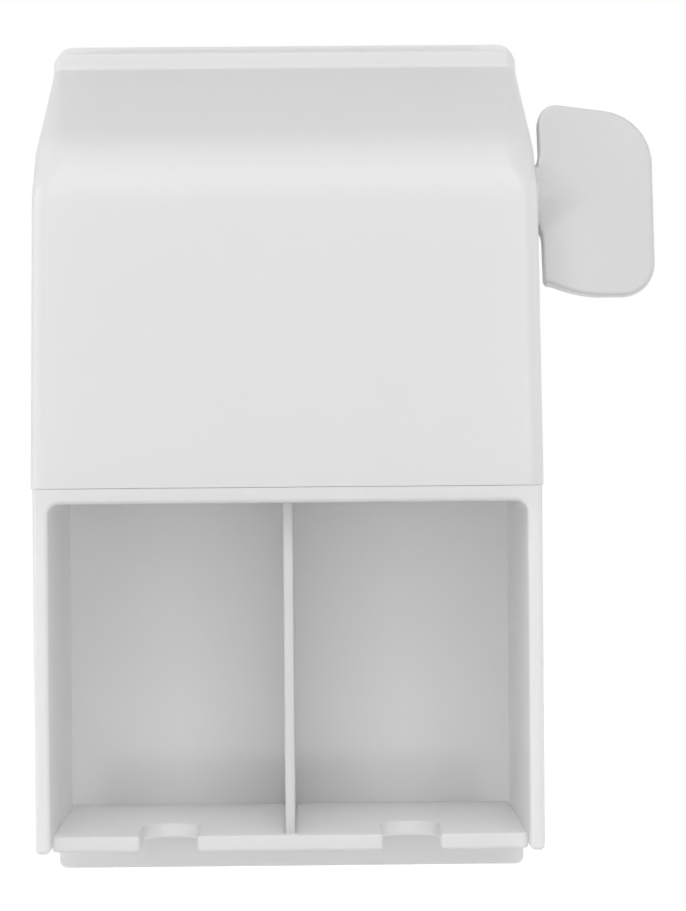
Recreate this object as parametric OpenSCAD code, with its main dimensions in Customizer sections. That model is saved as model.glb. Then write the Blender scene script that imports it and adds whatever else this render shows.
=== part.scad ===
// Wall-mounted toothpaste dispenser with two toothbrush bays under its housing.
// X runs to the right, Y towards the wall and Z up. The origin is the middle of the back
// face, on the wall. A name that ends in _d is a depth behind the front plane.

/* [Body] */
// Width over the side walls of the brush bays
body_w = 72; // [70:0.5:80]
// Height of the back plate, which is the height of the whole object
body_h = 127.2; // [125:0.2:140]
// Depth from the wall to the front plane
body_d = 56; // [55:0.5:64]
// Thickness of the back plate
plate_t = 2.2; // [2:0.1:3]
// Corner radius of the back plate
plate_corner_r = 1.3; // [0.6:0.1:3]

/* [Brush bays] */
// Clear height of the brush bays
bay_h = 47.2; // [40:0.2:48]
// Thickness of the bays' side walls
bay_wall_t = 2.1; // [1.8:0.1:2.6]
// Thickness of the shelf between the bays and the housing
mid_shelf_t = 2.2; // [1.8:0.1:3]
// Radius of the fillet between a side wall and the shelf above it
bay_fillet_r = 1.6; // [0.5:0.1:3]
// Thickness of the brush shelf
brush_shelf_t = 2.2; // [2:0.1:3]
// Distance of the brush shelf's front edge behind the front plane
brush_shelf_d = 3; // [1:0.5:6]
// Height of the back plate that shows below the brush shelf
skirt_h = 7.6; // [5:0.2:9]
// Width of a slot for a toothbrush neck
neck_slot_w = 8.2; // [6:0.2:10]
// Length of a slot for a toothbrush neck
neck_slot_l = 20; // [14:0.5:30]
// Thickness of the divider between the bays
divider_t = 1.4; // [1:0.1:2.4]
// Distance of the divider's front edge behind the brush shelf's
divider_set_back = 3; // [1:0.5:8]

/* [Cover] */
// Wall thickness of the cover
cover_t = 2; // [1.6:0.1:2.4]
// Distance by which each side of the cover overhangs the base
cover_overhang = 0.1; // [0:0.05:0.5]
// Draft angle of the cover's sides
cover_draft = 0.46; // [0:0.02:0.8]
// Radius of the cover's upright front edges
cover_edge_r = 2.2; // [1:0.1:4]
// Slope of the roof
roof_slope = 17.5; // [14:0.5:19]
// Radius of the lower part of the curve from front to roof
brow_low_r = 11; // [8:0.5:16]
// Radius of the upper part of the curve from front to roof
brow_high_r = 14; // [8:0.5:18]
// Angle through which the lower part of the curve turns
brow_turn = 55; // [30:1:65]
// Height of the lip above the roof
lip_h = 2.6; // [2:0.1:5]
// Thickness of the lip
lip_t = 1.6; // [1.2:0.1:2.4]
// Distance of the lip's top below the back plate's
lip_drop = 1.3; // [0.5:0.1:3]
// Corner radius of the lip's ends
lip_end_r = 1.5; // [0.5:0.1:3]
// Gap between the lip and the back plate, through which the tube's tail goes in
tube_slot_t = 3; // [2.4:0.1:4.5]
// Width of the tube slot
tube_slot_w = 60; // [54:0.5:62]

/* [Winder] */
// Depth of the winding shaft's axis
shaft_d = 26; // [22:0.5:30]
// Distance of the winding shaft's axis below the foot of the lip
shaft_drop = 21.9; // [18:0.1:26]
// Diameter of the winding shaft
shaft_dia = 8; // [7:0.1:9]
// Width of the slit that grips the tube's tail
slit_w = 1.8; // [1:0.1:2.4]
// Clear width between the two cheeks
cheek_gap = 56.8; // [54:0.2:58]
// Thickness of a cheek
cheek_t = 2.2; // [1.8:0.1:2.6]
// Wall thickness of a shaft bush
bush_wall = 1.5; // [1:0.1:2]
// Number of ratchet teeth
ratchet_teeth = 12; // [12, 24]
// Radius over the ratchet teeth
ratchet_r = 8; // [7:0.1:9]
// Height of a ratchet tooth
tooth_h = 1.2; // [0.8:0.1:1.4]
// Thickness of the ratchet wheel and of its pawl
ratchet_t = 1.8; // [1.4:0.1:2]
// Diameter of the squeeze roller
roller_dia = 7; // [6:0.1:8]
// Diameter of the squeeze roller's axle
axle_dia = 3; // [2:0.1:3.5]
// Gap between the squeeze roller and the back plate
squeeze_gap = 1.2; // [0.8:0.1:2.4]
// Distance of the roller's axis below the foot of the lip
roller_drop = 9.7; // [8.5:0.1:12]

/* [Key] */
// Reach of the key's wing, measured from its inner edge
wing_w = 17; // [14:0.5:24]
// Height of the key's wing above the shaft's axis
wing_up = 13.3; // [10:0.1:16]
// Depth of the key's wing below the shaft's axis
wing_down = 14.9; // [10:0.1:18]
// Thickness of the key's wing
wing_t = 2.6; // [2:0.1:4]
// Gap between the key's wing and the cover's side
wing_gap = 1.6; // [1:0.1:4]
// Diameter of the key's round neck
neck_dia = 8.8; // [8:0.1:10]
// Side of the square spigot that drives the shaft
spigot_w = 4.4; // [3.6:0.1:5]
// Angle at which the key stands, bottom edge to the front
key_rest_angle = 8; // [0:1:20]

/* [Hidden] */
$fn = 64;

// Clearances
seam_gap = 0.2;
fit_gap = 0.1;
slide_gap = 0.3;
running_gap = 0.05;
seat_gap = 0.02;
cut = 1;

// Heights, from the bottom up
plate_top_z = body_h / 2;
shelf_under_z = -plate_top_z + skirt_h;
shelf_top_z = shelf_under_z + brush_shelf_t;
bay_top_z = shelf_top_z + bay_h;
mid_top_z = bay_top_z + mid_shelf_t;
cover_bottom_z = mid_top_z + seam_gap;
lip_top_z = plate_top_z - lip_drop;
lip_foot_z = lip_top_z - lip_h;

// Depths behind the front plane
plate_front_d = body_d - plate_t;
cover_back_d = plate_front_d - seam_gap;
lip_back_d = plate_front_d - tube_slot_t;
lip_front_d = lip_back_d - lip_t;

// Bays
bay_half_w = body_w / 2 - bay_wall_t;
bay_centre_x = (bay_half_w + divider_t / 2) / 2;
divider_d = brush_shelf_d + divider_set_back;
groove_t = 0.8;
catch_l = 5;
catch_h = 1.2;
catch_out = 0.7;
catch_depths = [20, 42];
shelf_corner_r = 0.8;

// Curve from the cover's front to its roof
roof_turn = 90 - roof_slope;
brow_centre_2 = [brow_low_r - (brow_low_r - brow_high_r) * cos(brow_turn),
    (brow_low_r - brow_high_r) * sin(brow_turn)];
brow_depth = brow_centre_2[0] - brow_high_r * cos(roof_turn);
brow_rise = brow_centre_2[1] + brow_high_r * sin(roof_turn);
brow_z = lip_foot_z - (lip_front_d - brow_depth) * tan(roof_slope) - brow_rise;
brow_steps = 8;
cover_half_w = body_w / 2 + cover_overhang;
lip_edge_r = 0.7;
lip_fillet_r = 1.5;

// Rails that hold the cover down on the base, and the cover's ribs under them
rail_t = 1;
rail_h = 4;
rail_front_d = 6;
rail_back_d = 44;
rib_h = 1.5;
rail_inset = 2.7;

// Winder
shaft_z = lip_foot_z - shaft_drop;
roller_z = lip_foot_z - roller_drop;
roller_d = plate_front_d - squeeze_gap - roller_dia / 2;
cheek_in_x = cheek_gap / 2;
cheek_out_x = cheek_in_x + cheek_t;
cheek_front_d = shaft_d - 10;
cheek_foot_d = shaft_d + 12;
cheek_top_gap = 1.5;
bush_r = shaft_dia / 2 + running_gap + bush_wall;
flange_t = 0.8;
flange_r = bush_r + 1.2;
collar_t = 0.8;
collar_r = shaft_dia / 2 + 0.8;
collar_x = cheek_in_x - flange_t - 0.2;
slit_half_l = collar_x - collar_t - 0.6;
ratchet_x = cheek_out_x + slide_gap;
ratchet_square = shaft_dia * 0.7;
ring_x = ratchet_x + ratchet_t + fit_gap;
ring_t = 0.5;
ring_groove_r = 2.4;
ring_r = shaft_dia / 2 + 0.4;
shaft_left_x = ring_x + ring_t + 0.2;
shaft_right_x = cheek_out_x + 2.6;

// Ratchet pawl, placed from the shaft's axis
tooth_face_angle = 4;
pawl_pivot = [ratchet_r + 1.5, -13];
pawl_pin_r = 1.2;
pawl_boss_r = 2.6;
spring_t = 0.3;
spring_w = 1.4;
spring_root = [ratchet_r + 8.2, -11];
spring_bend = [ratchet_r + 7.2, -4.5];
spring_tip = [ratchet_r + 3.15, -3.4];

// Screws and pads
screw_x = cheek_in_x + cheek_t / 2;
screw_zs = [mid_top_z + 6.4, shaft_z - 1.8];
screw_r = 1.3;
screw_head_r = 2.5;
screw_head_h = 1.3;
screw_l = 9;
screw_boss_r = 2.75;
screw_boss_l = 9;
wall_hole_r = 2.2;
wall_hole_x = 20;
wall_hole_z = 20;
pad_w = 58;
pad_h = 13;
pad_t = 0.8;
pad_z = plate_top_z - 10.5;

// Key
neck_r = neck_dia / 2;
neck_hole_r = neck_r + 0.5;
wing_x = cover_half_w - (shaft_z - cover_bottom_z) * tan(cover_draft) + wing_gap;
wing_right_x = wing_x + wing_w;
wing_lean = 1;
spigot_l = 5.4;
key_pin_r = 0.8;
key_pin_x = cheek_out_x + 1.4;

// Extrudes an outline drawn in depth and height along X
module along_x(x0, x1) {
    translate([x0, -body_d, 0])
        rotate([90, 0, 90])
            linear_extrude(x1 - x0) children();
}

// Extrudes an outline drawn in X and height from one depth to another
module along_y(d0, d1) {
    translate([0, d1 - body_d, 0])
        rotate([90, 0, 0])
            linear_extrude(d1 - d0) children();
}

// Round bar along X at a depth and a height
module bar_x(x0, x1, d, z, r) {
    translate([x0, d - body_d, z])
        rotate([0, 90, 0]) cylinder(h = x1 - x0, r = r);
}

// Box between two corners given as X, depth and height
module box(low, high) {
    translate([low[0], low[1] - body_d, low[2]]) cube(high - low);
}

// Rectangle about the origin with round corners
module rounded_rect(w, h, r) {
    square([w - 2 * r, h], center = true);
    square([w, h - 2 * r], center = true);
    for (x = [-1, 1], y = [-1, 1])
        translate([x * (w / 2 - r), y * (h / 2 - r)]) circle(r);
}

// Points of an arc about a centre
function arc_points(centre, r, from, to, steps) =
    [for (i = [0 : steps]) let (a = from + (to - from) * i / steps)
        centre + r * [cos(a), sin(a)]];

// Front and roof line of the cover, moved inwards by a distance
function brow_points(inset) = concat(
    arc_points([brow_low_r, brow_z], brow_low_r - inset, 180, 180 - brow_turn, brow_steps),
    arc_points([0, brow_z] + brow_centre_2, brow_high_r - inset, 180 - brow_turn,
        180 - roof_turn, brow_steps));

// Height of the roof's underside at a depth
function roof_under_z(d) =
    lip_foot_z + (d - lip_front_d) * tan(roof_slope) - cover_t / cos(roof_slope);

// Half width of the cover at a height
function cover_side_x(z) = cover_half_w - (z - cover_bottom_z) * tan(cover_draft);

// Side view of the cover's outside
module cover_profile() {
    foot_fillet = [lip_front_d - lip_fillet_r,
        lip_foot_z + lip_fillet_r * (1 / cos(roof_slope) - tan(roof_slope))];
    polygon(concat(
        [[0, cover_bottom_z]],
        brow_points(0),
        arc_points(foot_fillet, lip_fillet_r, roof_slope - 90, 0, brow_steps),
        arc_points([lip_front_d + lip_edge_r, lip_top_z - lip_edge_r], lip_edge_r, 180, 90, 6),
        [[cover_back_d, lip_top_z], [cover_back_d, cover_bottom_z]]));
}

// Front view of the cover's outside, with its sides drafted
module cover_front() {
    corner_x = cover_side_x(lip_top_z) - lip_end_r;
    right = concat([[cover_side_x(cover_bottom_z), cover_bottom_z]],
        arc_points([corner_x, lip_top_z - lip_end_r], lip_end_r, 0, 90, 6));
    left = [for (i = [len(right) - 1 : -1 : 0]) [-right[i][0], right[i][1]]];
    polygon(concat(right, left));
}

// What is cut away to round the upright edge between front and right side
module edge_cutter() {
    translate([cover_side_x(cover_bottom_z - cut), -body_d, cover_bottom_z - cut])
        rotate([0, -cover_draft, 0])
            linear_extrude(brow_z + brow_rise - cover_bottom_z + cut)
                difference() {
                    translate([-cover_edge_r, -cut]) square(cover_edge_r + cut);
                    translate([-cover_edge_r, cover_edge_r]) circle(cover_edge_r);
                }
}

// Space inside the cover, open downwards and to the wall
module cover_cavity() {
    floor_z = cover_bottom_z - cut;
    top_x = cover_side_x(lip_top_z) - cover_t;
    low_x = cover_side_x(floor_z) - cover_t;
    back_d = cover_back_d + cut;
    intersection() {
        along_x(-body_w, body_w)
            polygon(concat([[cover_t, floor_z]], brow_points(cover_t),
                [[back_d, roof_under_z(back_d)], [back_d, floor_z]]));
        along_y(0, back_d)
            polygon([[low_x, floor_z], [top_x, lip_top_z], [-top_x, lip_top_z],
                [-low_x, floor_z]]);
    }
}

// Path that the key's neck takes through the cover's right side when the cover comes off
module neck_notch() {
    bar_x(cheek_out_x, body_w, shaft_d, shaft_z, neck_hole_r);
    box([cheek_out_x, shaft_d, shaft_z - neck_hole_r],
        [body_w, cover_back_d + cut, shaft_z + neck_hole_r]);
}

// Rib inside the cover's right side, which slides under the base's rail
module cover_rib() {
    rib_z = mid_top_z + rail_h - rail_t - slide_gap - rib_h;
    wall_x = cover_side_x(cover_bottom_z) - cover_t;
    box([rail_x() + rail_t + slide_gap, rail_front_d + 2, rib_z],
        [wall_x + cut, rail_back_d, rib_z + rib_h]);
}

// Inner face of the right rail's web
function rail_x() = cover_side_x(cover_bottom_z) - cover_t - rail_inset;

// Moulded housing: front, roof, lip and both sides
module cover() {
    color("white") {
        difference() {
            intersection() {
                along_x(-body_w, body_w) cover_profile();
                along_y(-cut, cover_back_d + cut) cover_front();
            }
            edge_cutter();
            mirror([1, 0, 0]) edge_cutter();
            cover_cavity();
            box([-tube_slot_w / 2, lip_back_d, brow_z],
                [tube_slot_w / 2, cover_back_d + cut, lip_top_z + cut]);
            neck_notch();
        }
        cover_rib();
        mirror([1, 0, 0]) cover_rib();
    }
}

// Rail on top of the middle shelf, right side
module cover_rail() {
    box([rail_x(), rail_front_d, mid_top_z - cut],
        [rail_x() + rail_t, rail_back_d, mid_top_z + rail_h]);
    box([rail_x(), rail_front_d, mid_top_z + rail_h - rail_t],
        [rail_x() + 2 * rail_t, rail_back_d, mid_top_z + rail_h]);
}

// Side wall, middle shelf and fillet of the right bay, as an outline in X and height
module bay_outline() {
    wall_h = mid_top_z - shelf_under_z;
    translate([body_w / 2 - bay_wall_t / 2, (mid_top_z + shelf_under_z) / 2])
        rounded_rect(bay_wall_t, wall_h, bay_wall_t * 0.35);
    translate([0, bay_top_z]) square([body_w / 2, mid_shelf_t]);
    translate([bay_half_w - bay_fillet_r, bay_top_z - bay_fillet_r])
        difference() {
            square(bay_fillet_r + fit_gap);
            circle(bay_fillet_r);
        }
}

// Moulded base: back plate, bay walls, middle shelf and the cover's rails
module base_frame() {
    color("white")
        difference() {
            union() {
                along_y(plate_front_d, body_d) rounded_rect(body_w, body_h, plate_corner_r);
                for (side = [0, 1]) mirror([side, 0, 0]) {
                    along_y(0, plate_front_d + cut) bay_outline();
                    cover_rail();
                }
            }
            for (side = [0, 1]) mirror([side, 0, 0])
                for (d = catch_depths)
                    box([bay_half_w - cut, d - fit_gap, catch_z() - fit_gap],
                        [bay_half_w + catch_out + fit_gap, d + catch_l + fit_gap,
                            catch_z() + catch_h + fit_gap]);
            box([-divider_t / 2 - fit_gap, divider_d - fit_gap, bay_top_z - cut],
                [divider_t / 2 + fit_gap, plate_front_d, bay_top_z + groove_t]);
            for (x = [-screw_x, screw_x], z = screw_zs) screw_hole(x, z);
            for (x = [-wall_hole_x, wall_hole_x])
                translate([x, cut, wall_hole_z])
                    rotate([90, 0, 0]) cylinder(h = plate_t + 2 * cut, r = wall_hole_r);
            for (z = [-pad_z, pad_z])
                translate([-pad_w / 2 - fit_gap, -pad_t, z - pad_h / 2 - fit_gap])
                    cube([pad_w + 2 * fit_gap, pad_t + cut, pad_h + 2 * fit_gap]);
        }
}

// Underside of the brush shelf's catches
function catch_z() = shelf_under_z + (brush_shelf_t - catch_h) / 2;

// Hole and countersink for a screw that comes through the back plate
module screw_hole(x, z) {
    translate([x, cut, z])
        rotate([90, 0, 0]) cylinder(h = plate_t + 2 * cut, r = screw_r + fit_gap);
    translate([x, 0, z])
        rotate([90, 0, 0])
            cylinder(h = screw_head_h, r1 = screw_head_r + fit_gap, r2 = screw_r + fit_gap);
}

// Shelf with a slot for the neck of a toothbrush in each bay
module brush_shelf() {
    half_w = bay_half_w - fit_gap;
    color("white")
        difference() {
            union() {
                box([-half_w, brush_shelf_d + shelf_corner_r, shelf_under_z],
                    [half_w, plate_front_d, shelf_top_z]);
                box([-half_w + shelf_corner_r, brush_shelf_d, shelf_under_z],
                    [half_w - shelf_corner_r, plate_front_d, shelf_top_z]);
                for (side = [0, 1]) mirror([side, 0, 0]) {
                    translate([half_w - shelf_corner_r,
                        brush_shelf_d + shelf_corner_r - body_d, shelf_under_z])
                        cylinder(h = brush_shelf_t, r = shelf_corner_r);
                    for (d = catch_depths)
                        box([half_w - cut, d, catch_z()],
                            [half_w + catch_out, d + catch_l, catch_z() + catch_h]);
                }
            }
            for (x = [-bay_centre_x, bay_centre_x]) neck_slot(x);
            box([-divider_t / 2 - fit_gap, divider_d - fit_gap, shelf_top_z - groove_t],
                [divider_t / 2 + fit_gap, plate_front_d + cut, shelf_top_z + cut]);
        }
}

// Slot with a round end, open at the front
module neck_slot(x) {
    end_d = brush_shelf_d + neck_slot_l - neck_slot_w / 2;
    box([x - neck_slot_w / 2, brush_shelf_d - cut, shelf_under_z - cut],
        [x + neck_slot_w / 2, end_d, shelf_top_z + cut]);
    translate([x, end_d - body_d, shelf_under_z - cut])
        cylinder(h = brush_shelf_t + 2 * cut, r = neck_slot_w / 2);
}

// Upright plate between the bays, held in grooves above and below
module bay_divider() {
    color("white")
        box([-divider_t / 2, divider_d, shelf_top_z - groove_t],
            [divider_t / 2, plate_front_d, bay_top_z + groove_t - fit_gap]);
}

// Side view of a cheek
module cheek_profile() {
    top_back_z = roof_under_z(plate_front_d) - cheek_top_gap;
    top_front_d = cheek_front_d + 3;
    polygon([[plate_front_d, mid_top_z], [plate_front_d, top_back_z],
        [top_front_d, roof_under_z(top_front_d) - cheek_top_gap],
        [cheek_front_d, shaft_z + 4], [cheek_front_d, shaft_z - 5],
        [cheek_foot_d, mid_top_z + 10], [cheek_foot_d, mid_top_z]]);
}

// Upright plate that carries the right ends of the shaft and the roller's axle, with what
// is moulded onto it
module cheek_plate() {
    difference() {
        union() {
            along_x(cheek_in_x, cheek_out_x) cheek_profile();
            children();
            for (z = screw_zs)
                translate([screw_x, -plate_t, z])
                    rotate([90, 0, 0]) cylinder(h = screw_boss_l, r = screw_boss_r);
        }
        bar_x(cheek_in_x - cut, cheek_out_x + cut, shaft_d, shaft_z, bush_r + seat_gap);
        bar_x(cheek_in_x - cut, cheek_out_x + cut, roller_d, roller_z,
            axle_dia / 2 + seat_gap);
        for (z = screw_zs)
            translate([screw_x, -plate_t + cut, z])
                rotate([90, 0, 0]) cylinder(h = screw_l - plate_t + cut + 1,
                    r = screw_r + seat_gap);
    }
}

// Left cheek, with the hole for the pawl's pin and the block that holds its spring
module left_cheek() {
    block_low = [spring_root[0] + spring_t / 2 + seat_gap, spring_root[1] - 2];
    color("gainsboro") {
        difference() {
            mirror([1, 0, 0]) cheek_plate();
            bar_x(-cheek_out_x - cut, -cheek_in_x + cut, shaft_d + pawl_pivot[0],
                shaft_z + pawl_pivot[1], pawl_pin_r + seat_gap);
        }
        box([-ratchet_x - ratchet_t, shaft_d + block_low[0], shaft_z + block_low[1]],
            [-cheek_out_x + cut, shaft_d + block_low[0] + 2, shaft_z + block_low[1] + 5]);
    }
}

// Right cheek, with the tongue that fills the cover's notch behind the key's neck
module right_cheek() {
    tongue_x = cover_side_x(shaft_z + neck_hole_r);
    color("gainsboro")
        cheek_plate()
            difference() {
                box([cheek_out_x - cut, shaft_d + 2, shaft_z - neck_hole_r + slide_gap],
                    [tongue_x, cover_back_d, shaft_z + neck_hole_r - slide_gap]);
                bar_x(cheek_in_x, body_w, shaft_d, shaft_z, bush_r + seat_gap);
                bar_x(cheek_out_x, body_w, shaft_d, shaft_z, neck_hole_r + 0.4);
            }
}

// Flanged bush of the right cheek
module bush() {
    difference() {
        union() {
            bar_x(cheek_in_x - flange_t, cheek_out_x, shaft_d, shaft_z, bush_r);
            bar_x(cheek_in_x - flange_t, cheek_in_x, shaft_d, shaft_z, flange_r);
        }
        bar_x(cheek_in_x - cut - flange_t, cheek_out_x + cut, shaft_d, shaft_z,
            shaft_dia / 2 + running_gap);
    }
}

module left_bush() {
    color("ivory") mirror([1, 0, 0]) bush();
}

module right_bush() {
    color("ivory") bush();
}

// Turns what is drawn about the shaft's axis to the angle at which the key stands
module at_key_angle() {
    translate([0, shaft_d - body_d, shaft_z])
        rotate([-key_rest_angle, 0, 0]) children();
}

// Slit shaft with a collar at each end, a square for the ratchet and a square socket
module winding_shaft() {
    socket_w = spigot_w + 2 * fit_gap;
    color("gainsboro")
        at_key_angle()
            difference() {
                union() {
                    axis_bar(-ratchet_x + slide_gap / 2, shaft_right_x, shaft_dia / 2);
                    intersection() {
                        axis_bar(-shaft_left_x, 0, shaft_dia / 2);
                        axis_square(-shaft_left_x, 0, ratchet_square);
                    }
                    for (side = [0, 1]) mirror([side, 0, 0])
                        axis_bar(collar_x - collar_t, collar_x, collar_r);
                }
                translate([-slit_half_l, -slit_w / 2, -shaft_dia])
                    cube([2 * slit_half_l, slit_w, 2 * shaft_dia]);
                axis_square(shaft_right_x - spigot_l - fit_gap, shaft_right_x + cut, socket_w);
                translate([key_pin_x, 0, -shaft_dia])
                    cylinder(h = 2 * shaft_dia, r = key_pin_r + seat_gap);
                difference() {
                    axis_bar(-ring_x - ring_t - fit_gap, -ring_x, shaft_dia);
                    axis_bar(-ring_x - ring_t - cut, -ring_x + cut, ring_groove_r);
                }
            }
}

// Round bar on the shaft's own axis
module axis_bar(x0, x1, r) {
    translate([x0, 0, 0]) rotate([0, 90, 0]) cylinder(h = x1 - x0, r = r);
}

// Square bar on the shaft's own axis
module axis_square(x0, x1, side) {
    translate([x0, -side / 2, -side / 2]) cube([x1 - x0, side, side]);
}

// Outline of the key's wing in X and height above the axis
function wing_points() = concat(
    arc_points([wing_x + 2.9, wing_up - 2.6], 2.6, 180, 90, 6),
    arc_points([wing_right_x - 7.5, wing_up - 8.1], 7.5, 82, 0, 12),
    arc_points([wing_right_x - 5.6, -wing_down + 5.6], 5.6, 0, -96, 12),
    arc_points([wing_x + wing_lean + 0.9, -wing_down + 2.3], 0.9, -104, -180, 4));

// Radius of the flare between the key's neck and its wing, along its length from 0 to 1
function flare_r(t) = (neck_r - wing_t * 0.4) * pow(1 - t, 2) + wing_t * 0.4;

// Wing key in one piece with its neck and its square spigot
module key() {
    flare_l = wing_w * 0.55;
    steps = 10;
    color("white")
        at_key_angle()
            difference() {
                union() {
                    translate([0, wing_t / 2, 0])
                        rotate([90, 0, 0])
                            linear_extrude(wing_t) polygon(wing_points());
                    rotate([0, 90, 0])
                        rotate_extrude()
                            polygon(concat([[0, shaft_right_x], [neck_r, shaft_right_x]],
                                [for (i = [0 : steps])
                                    [flare_r(i / steps), wing_x + flare_l * i / steps]],
                                [[0, wing_x + flare_l]]));
                    axis_square(shaft_right_x - spigot_l, shaft_right_x + cut, spigot_w);
                }
                translate([key_pin_x, 0, -shaft_dia])
                    cylinder(h = 2 * shaft_dia, r = key_pin_r + seat_gap);
            }
}

// Cross pin that locks the key's spigot in the shaft
module key_pin() {
    pin_half_l = shaft_dia / 2 - 0.2;
    color("silver")
        at_key_angle()
            translate([key_pin_x, 0, -pin_half_l])
                cylinder(h = 2 * pin_half_l, r = key_pin_r);
}

// Outline of the ratchet wheel: each tooth has a radial face and a long ramp
module ratchet_outline() {
    pitch = 360 / ratchet_teeth;
    polygon([for (i = [0 : ratchet_teeth - 1])
        let (a = tooth_face_angle + i * pitch)
            each [ratchet_r * [cos(a), sin(a)],
                (ratchet_r - tooth_h) * [cos(a + pitch), sin(a + pitch)]]]);
}

// Toothed wheel on the shaft's left end
module ratchet_wheel() {
    hole_w = ratchet_square + 2 * fit_gap;
    color("gainsboro")
        difference() {
            along_x(-ratchet_x - ratchet_t, -ratchet_x)
                translate([shaft_d, shaft_z]) ratchet_outline();
            at_key_angle() axis_square(-ratchet_x - ratchet_t - cut, 0, hole_w);
        }
}

// Open ring that keeps the ratchet wheel on the shaft
module retaining_ring() {
    color("silver")
        at_key_angle()
            difference() {
                axis_bar(-ring_x - ring_t, -ring_x, ring_r);
                axis_bar(-ring_x - ring_t - cut, -ring_x + cut, ring_groove_r + seat_gap);
                translate([-ring_x - ring_t - cut, -1.2, 0]) cube([ring_t + 2 * cut, 2.4, ring_r]);
            }
}

// Pawl that lets the wheel turn one way only
module ratchet_pawl() {
    nose_r = ratchet_r - tooth_h + 0.15;
    nose_angle = tooth_face_angle - 1.4;
    nose = nose_r * [cos(nose_angle), sin(nose_angle)];
    color("gainsboro")
        difference() {
            union() {
                along_x(-ratchet_x - ratchet_t, -ratchet_x)
                    translate([shaft_d, shaft_z])
                        polygon([nose, [ratchet_r + 0.9, nose[1] + 0.1], [ratchet_r + 2.6, -3],
                            pawl_pivot + [2.4, 0], pawl_pivot + [-2.4, 0],
                            [ratchet_r - 0.25, -4], [ratchet_r - 0.45, -1.5]]);
                bar_x(-ratchet_x - ratchet_t, -ratchet_x, shaft_d + pawl_pivot[0],
                    shaft_z + pawl_pivot[1], pawl_boss_r);
            }
            bar_x(-ratchet_x - ratchet_t - cut, -ratchet_x + cut, shaft_d + pawl_pivot[0],
                shaft_z + pawl_pivot[1], pawl_pin_r + running_gap);
        }
}

// Shouldered pin on which the pawl rocks
module pawl_pin() {
    head_x = ratchet_x + ratchet_t + fit_gap;
    head_t = 0.5;
    color("silver") {
        bar_x(-head_x - head_t, -cheek_in_x - 0.4, shaft_d + pawl_pivot[0],
            shaft_z + pawl_pivot[1], pawl_pin_r);
        bar_x(-head_x - head_t, -head_x, shaft_d + pawl_pivot[0], shaft_z + pawl_pivot[1], 2);
    }
}

// Flat strip between two points of a side view, with round ends
module strip(from, to, t) {
    run = to - from;
    translate(from) rotate(atan2(run[1], run[0])) translate([0, -t / 2]) square([norm(run), t]);
    translate(from) circle(d = t);
    translate(to) circle(d = t);
}

// Bent leaf spring that presses the pawl against the wheel
module pawl_spring() {
    middle = -ratchet_x - ratchet_t / 2;
    color("silver")
        along_x(middle - spring_w / 2, middle + spring_w / 2)
            translate([shaft_d, shaft_z]) {
                strip(spring_root, spring_bend, spring_t);
                strip(spring_bend, spring_tip, spring_t);
            }
}

// Free roller that presses the tube against the back plate
module squeeze_roller() {
    half_l = cheek_in_x - slide_gap;
    color("lightgray")
        difference() {
            bar_x(-half_l, half_l, roller_d, roller_z, roller_dia / 2);
            bar_x(-half_l - cut, half_l + cut, roller_d, roller_z,
                axle_dia / 2 + running_gap);
        }
}

// Steel axle of the roller, from cheek to cheek
module roller_axle() {
    color("silver") bar_x(-cheek_out_x, cheek_out_x, roller_d, roller_z, axle_dia / 2);
}

// Four countersunk screws that hold the cheeks to the back plate
module chassis_screws() {
    color("silver")
        for (x = [-screw_x, screw_x], z = screw_zs)
            translate([x, 0, z])
                rotate([90, 0, 0]) {
                    cylinder(h = screw_head_h, r1 = screw_head_r, r2 = screw_r);
                    cylinder(h = screw_l, r = screw_r);
                }
}

// Two foam strips that stick the base to the wall
module adhesive_pads() {
    color("dimgray")
        for (z = [-pad_z, pad_z])
            translate([-pad_w / 2, -pad_t, z - pad_h / 2]) cube([pad_w, pad_t, pad_h]);
}

base_frame();
brush_shelf();
bay_divider();
cover();
left_cheek();
right_cheek();
left_bush();
right_bush();
winding_shaft();
key();
key_pin();
ratchet_wheel();
retaining_ring();
ratchet_pawl();
pawl_pin();
pawl_spring();
squeeze_roller();
roller_axle();
chassis_screws();
adhesive_pads();
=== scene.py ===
"""Wall-mounted toothpaste dispenser with two toothbrush bays, dressed for rendering."""
import math

import bmesh
import bpy
import numpy as np
from mathutils import Matrix, Vector


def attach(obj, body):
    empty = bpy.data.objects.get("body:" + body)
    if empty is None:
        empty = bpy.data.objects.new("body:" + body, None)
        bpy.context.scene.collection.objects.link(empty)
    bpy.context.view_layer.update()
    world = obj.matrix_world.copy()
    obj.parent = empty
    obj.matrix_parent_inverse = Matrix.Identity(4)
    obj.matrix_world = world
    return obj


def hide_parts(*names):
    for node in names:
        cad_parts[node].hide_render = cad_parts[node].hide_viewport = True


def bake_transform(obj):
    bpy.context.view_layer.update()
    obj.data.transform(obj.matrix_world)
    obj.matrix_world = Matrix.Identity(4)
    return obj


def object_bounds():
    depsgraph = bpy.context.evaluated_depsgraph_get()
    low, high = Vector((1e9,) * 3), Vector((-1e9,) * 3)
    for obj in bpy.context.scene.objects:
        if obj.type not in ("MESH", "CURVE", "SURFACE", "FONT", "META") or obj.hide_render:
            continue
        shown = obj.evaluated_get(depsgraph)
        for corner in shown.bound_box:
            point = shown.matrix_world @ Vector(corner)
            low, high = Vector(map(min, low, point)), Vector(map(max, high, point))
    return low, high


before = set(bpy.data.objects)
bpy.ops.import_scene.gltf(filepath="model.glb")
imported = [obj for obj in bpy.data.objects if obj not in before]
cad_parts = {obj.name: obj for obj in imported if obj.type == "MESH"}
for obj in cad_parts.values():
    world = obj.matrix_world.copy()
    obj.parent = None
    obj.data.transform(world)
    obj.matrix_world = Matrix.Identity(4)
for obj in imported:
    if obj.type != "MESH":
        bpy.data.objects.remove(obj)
cad_low, cad_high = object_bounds()
scene = bpy.context.scene
MM = 0.001

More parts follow.
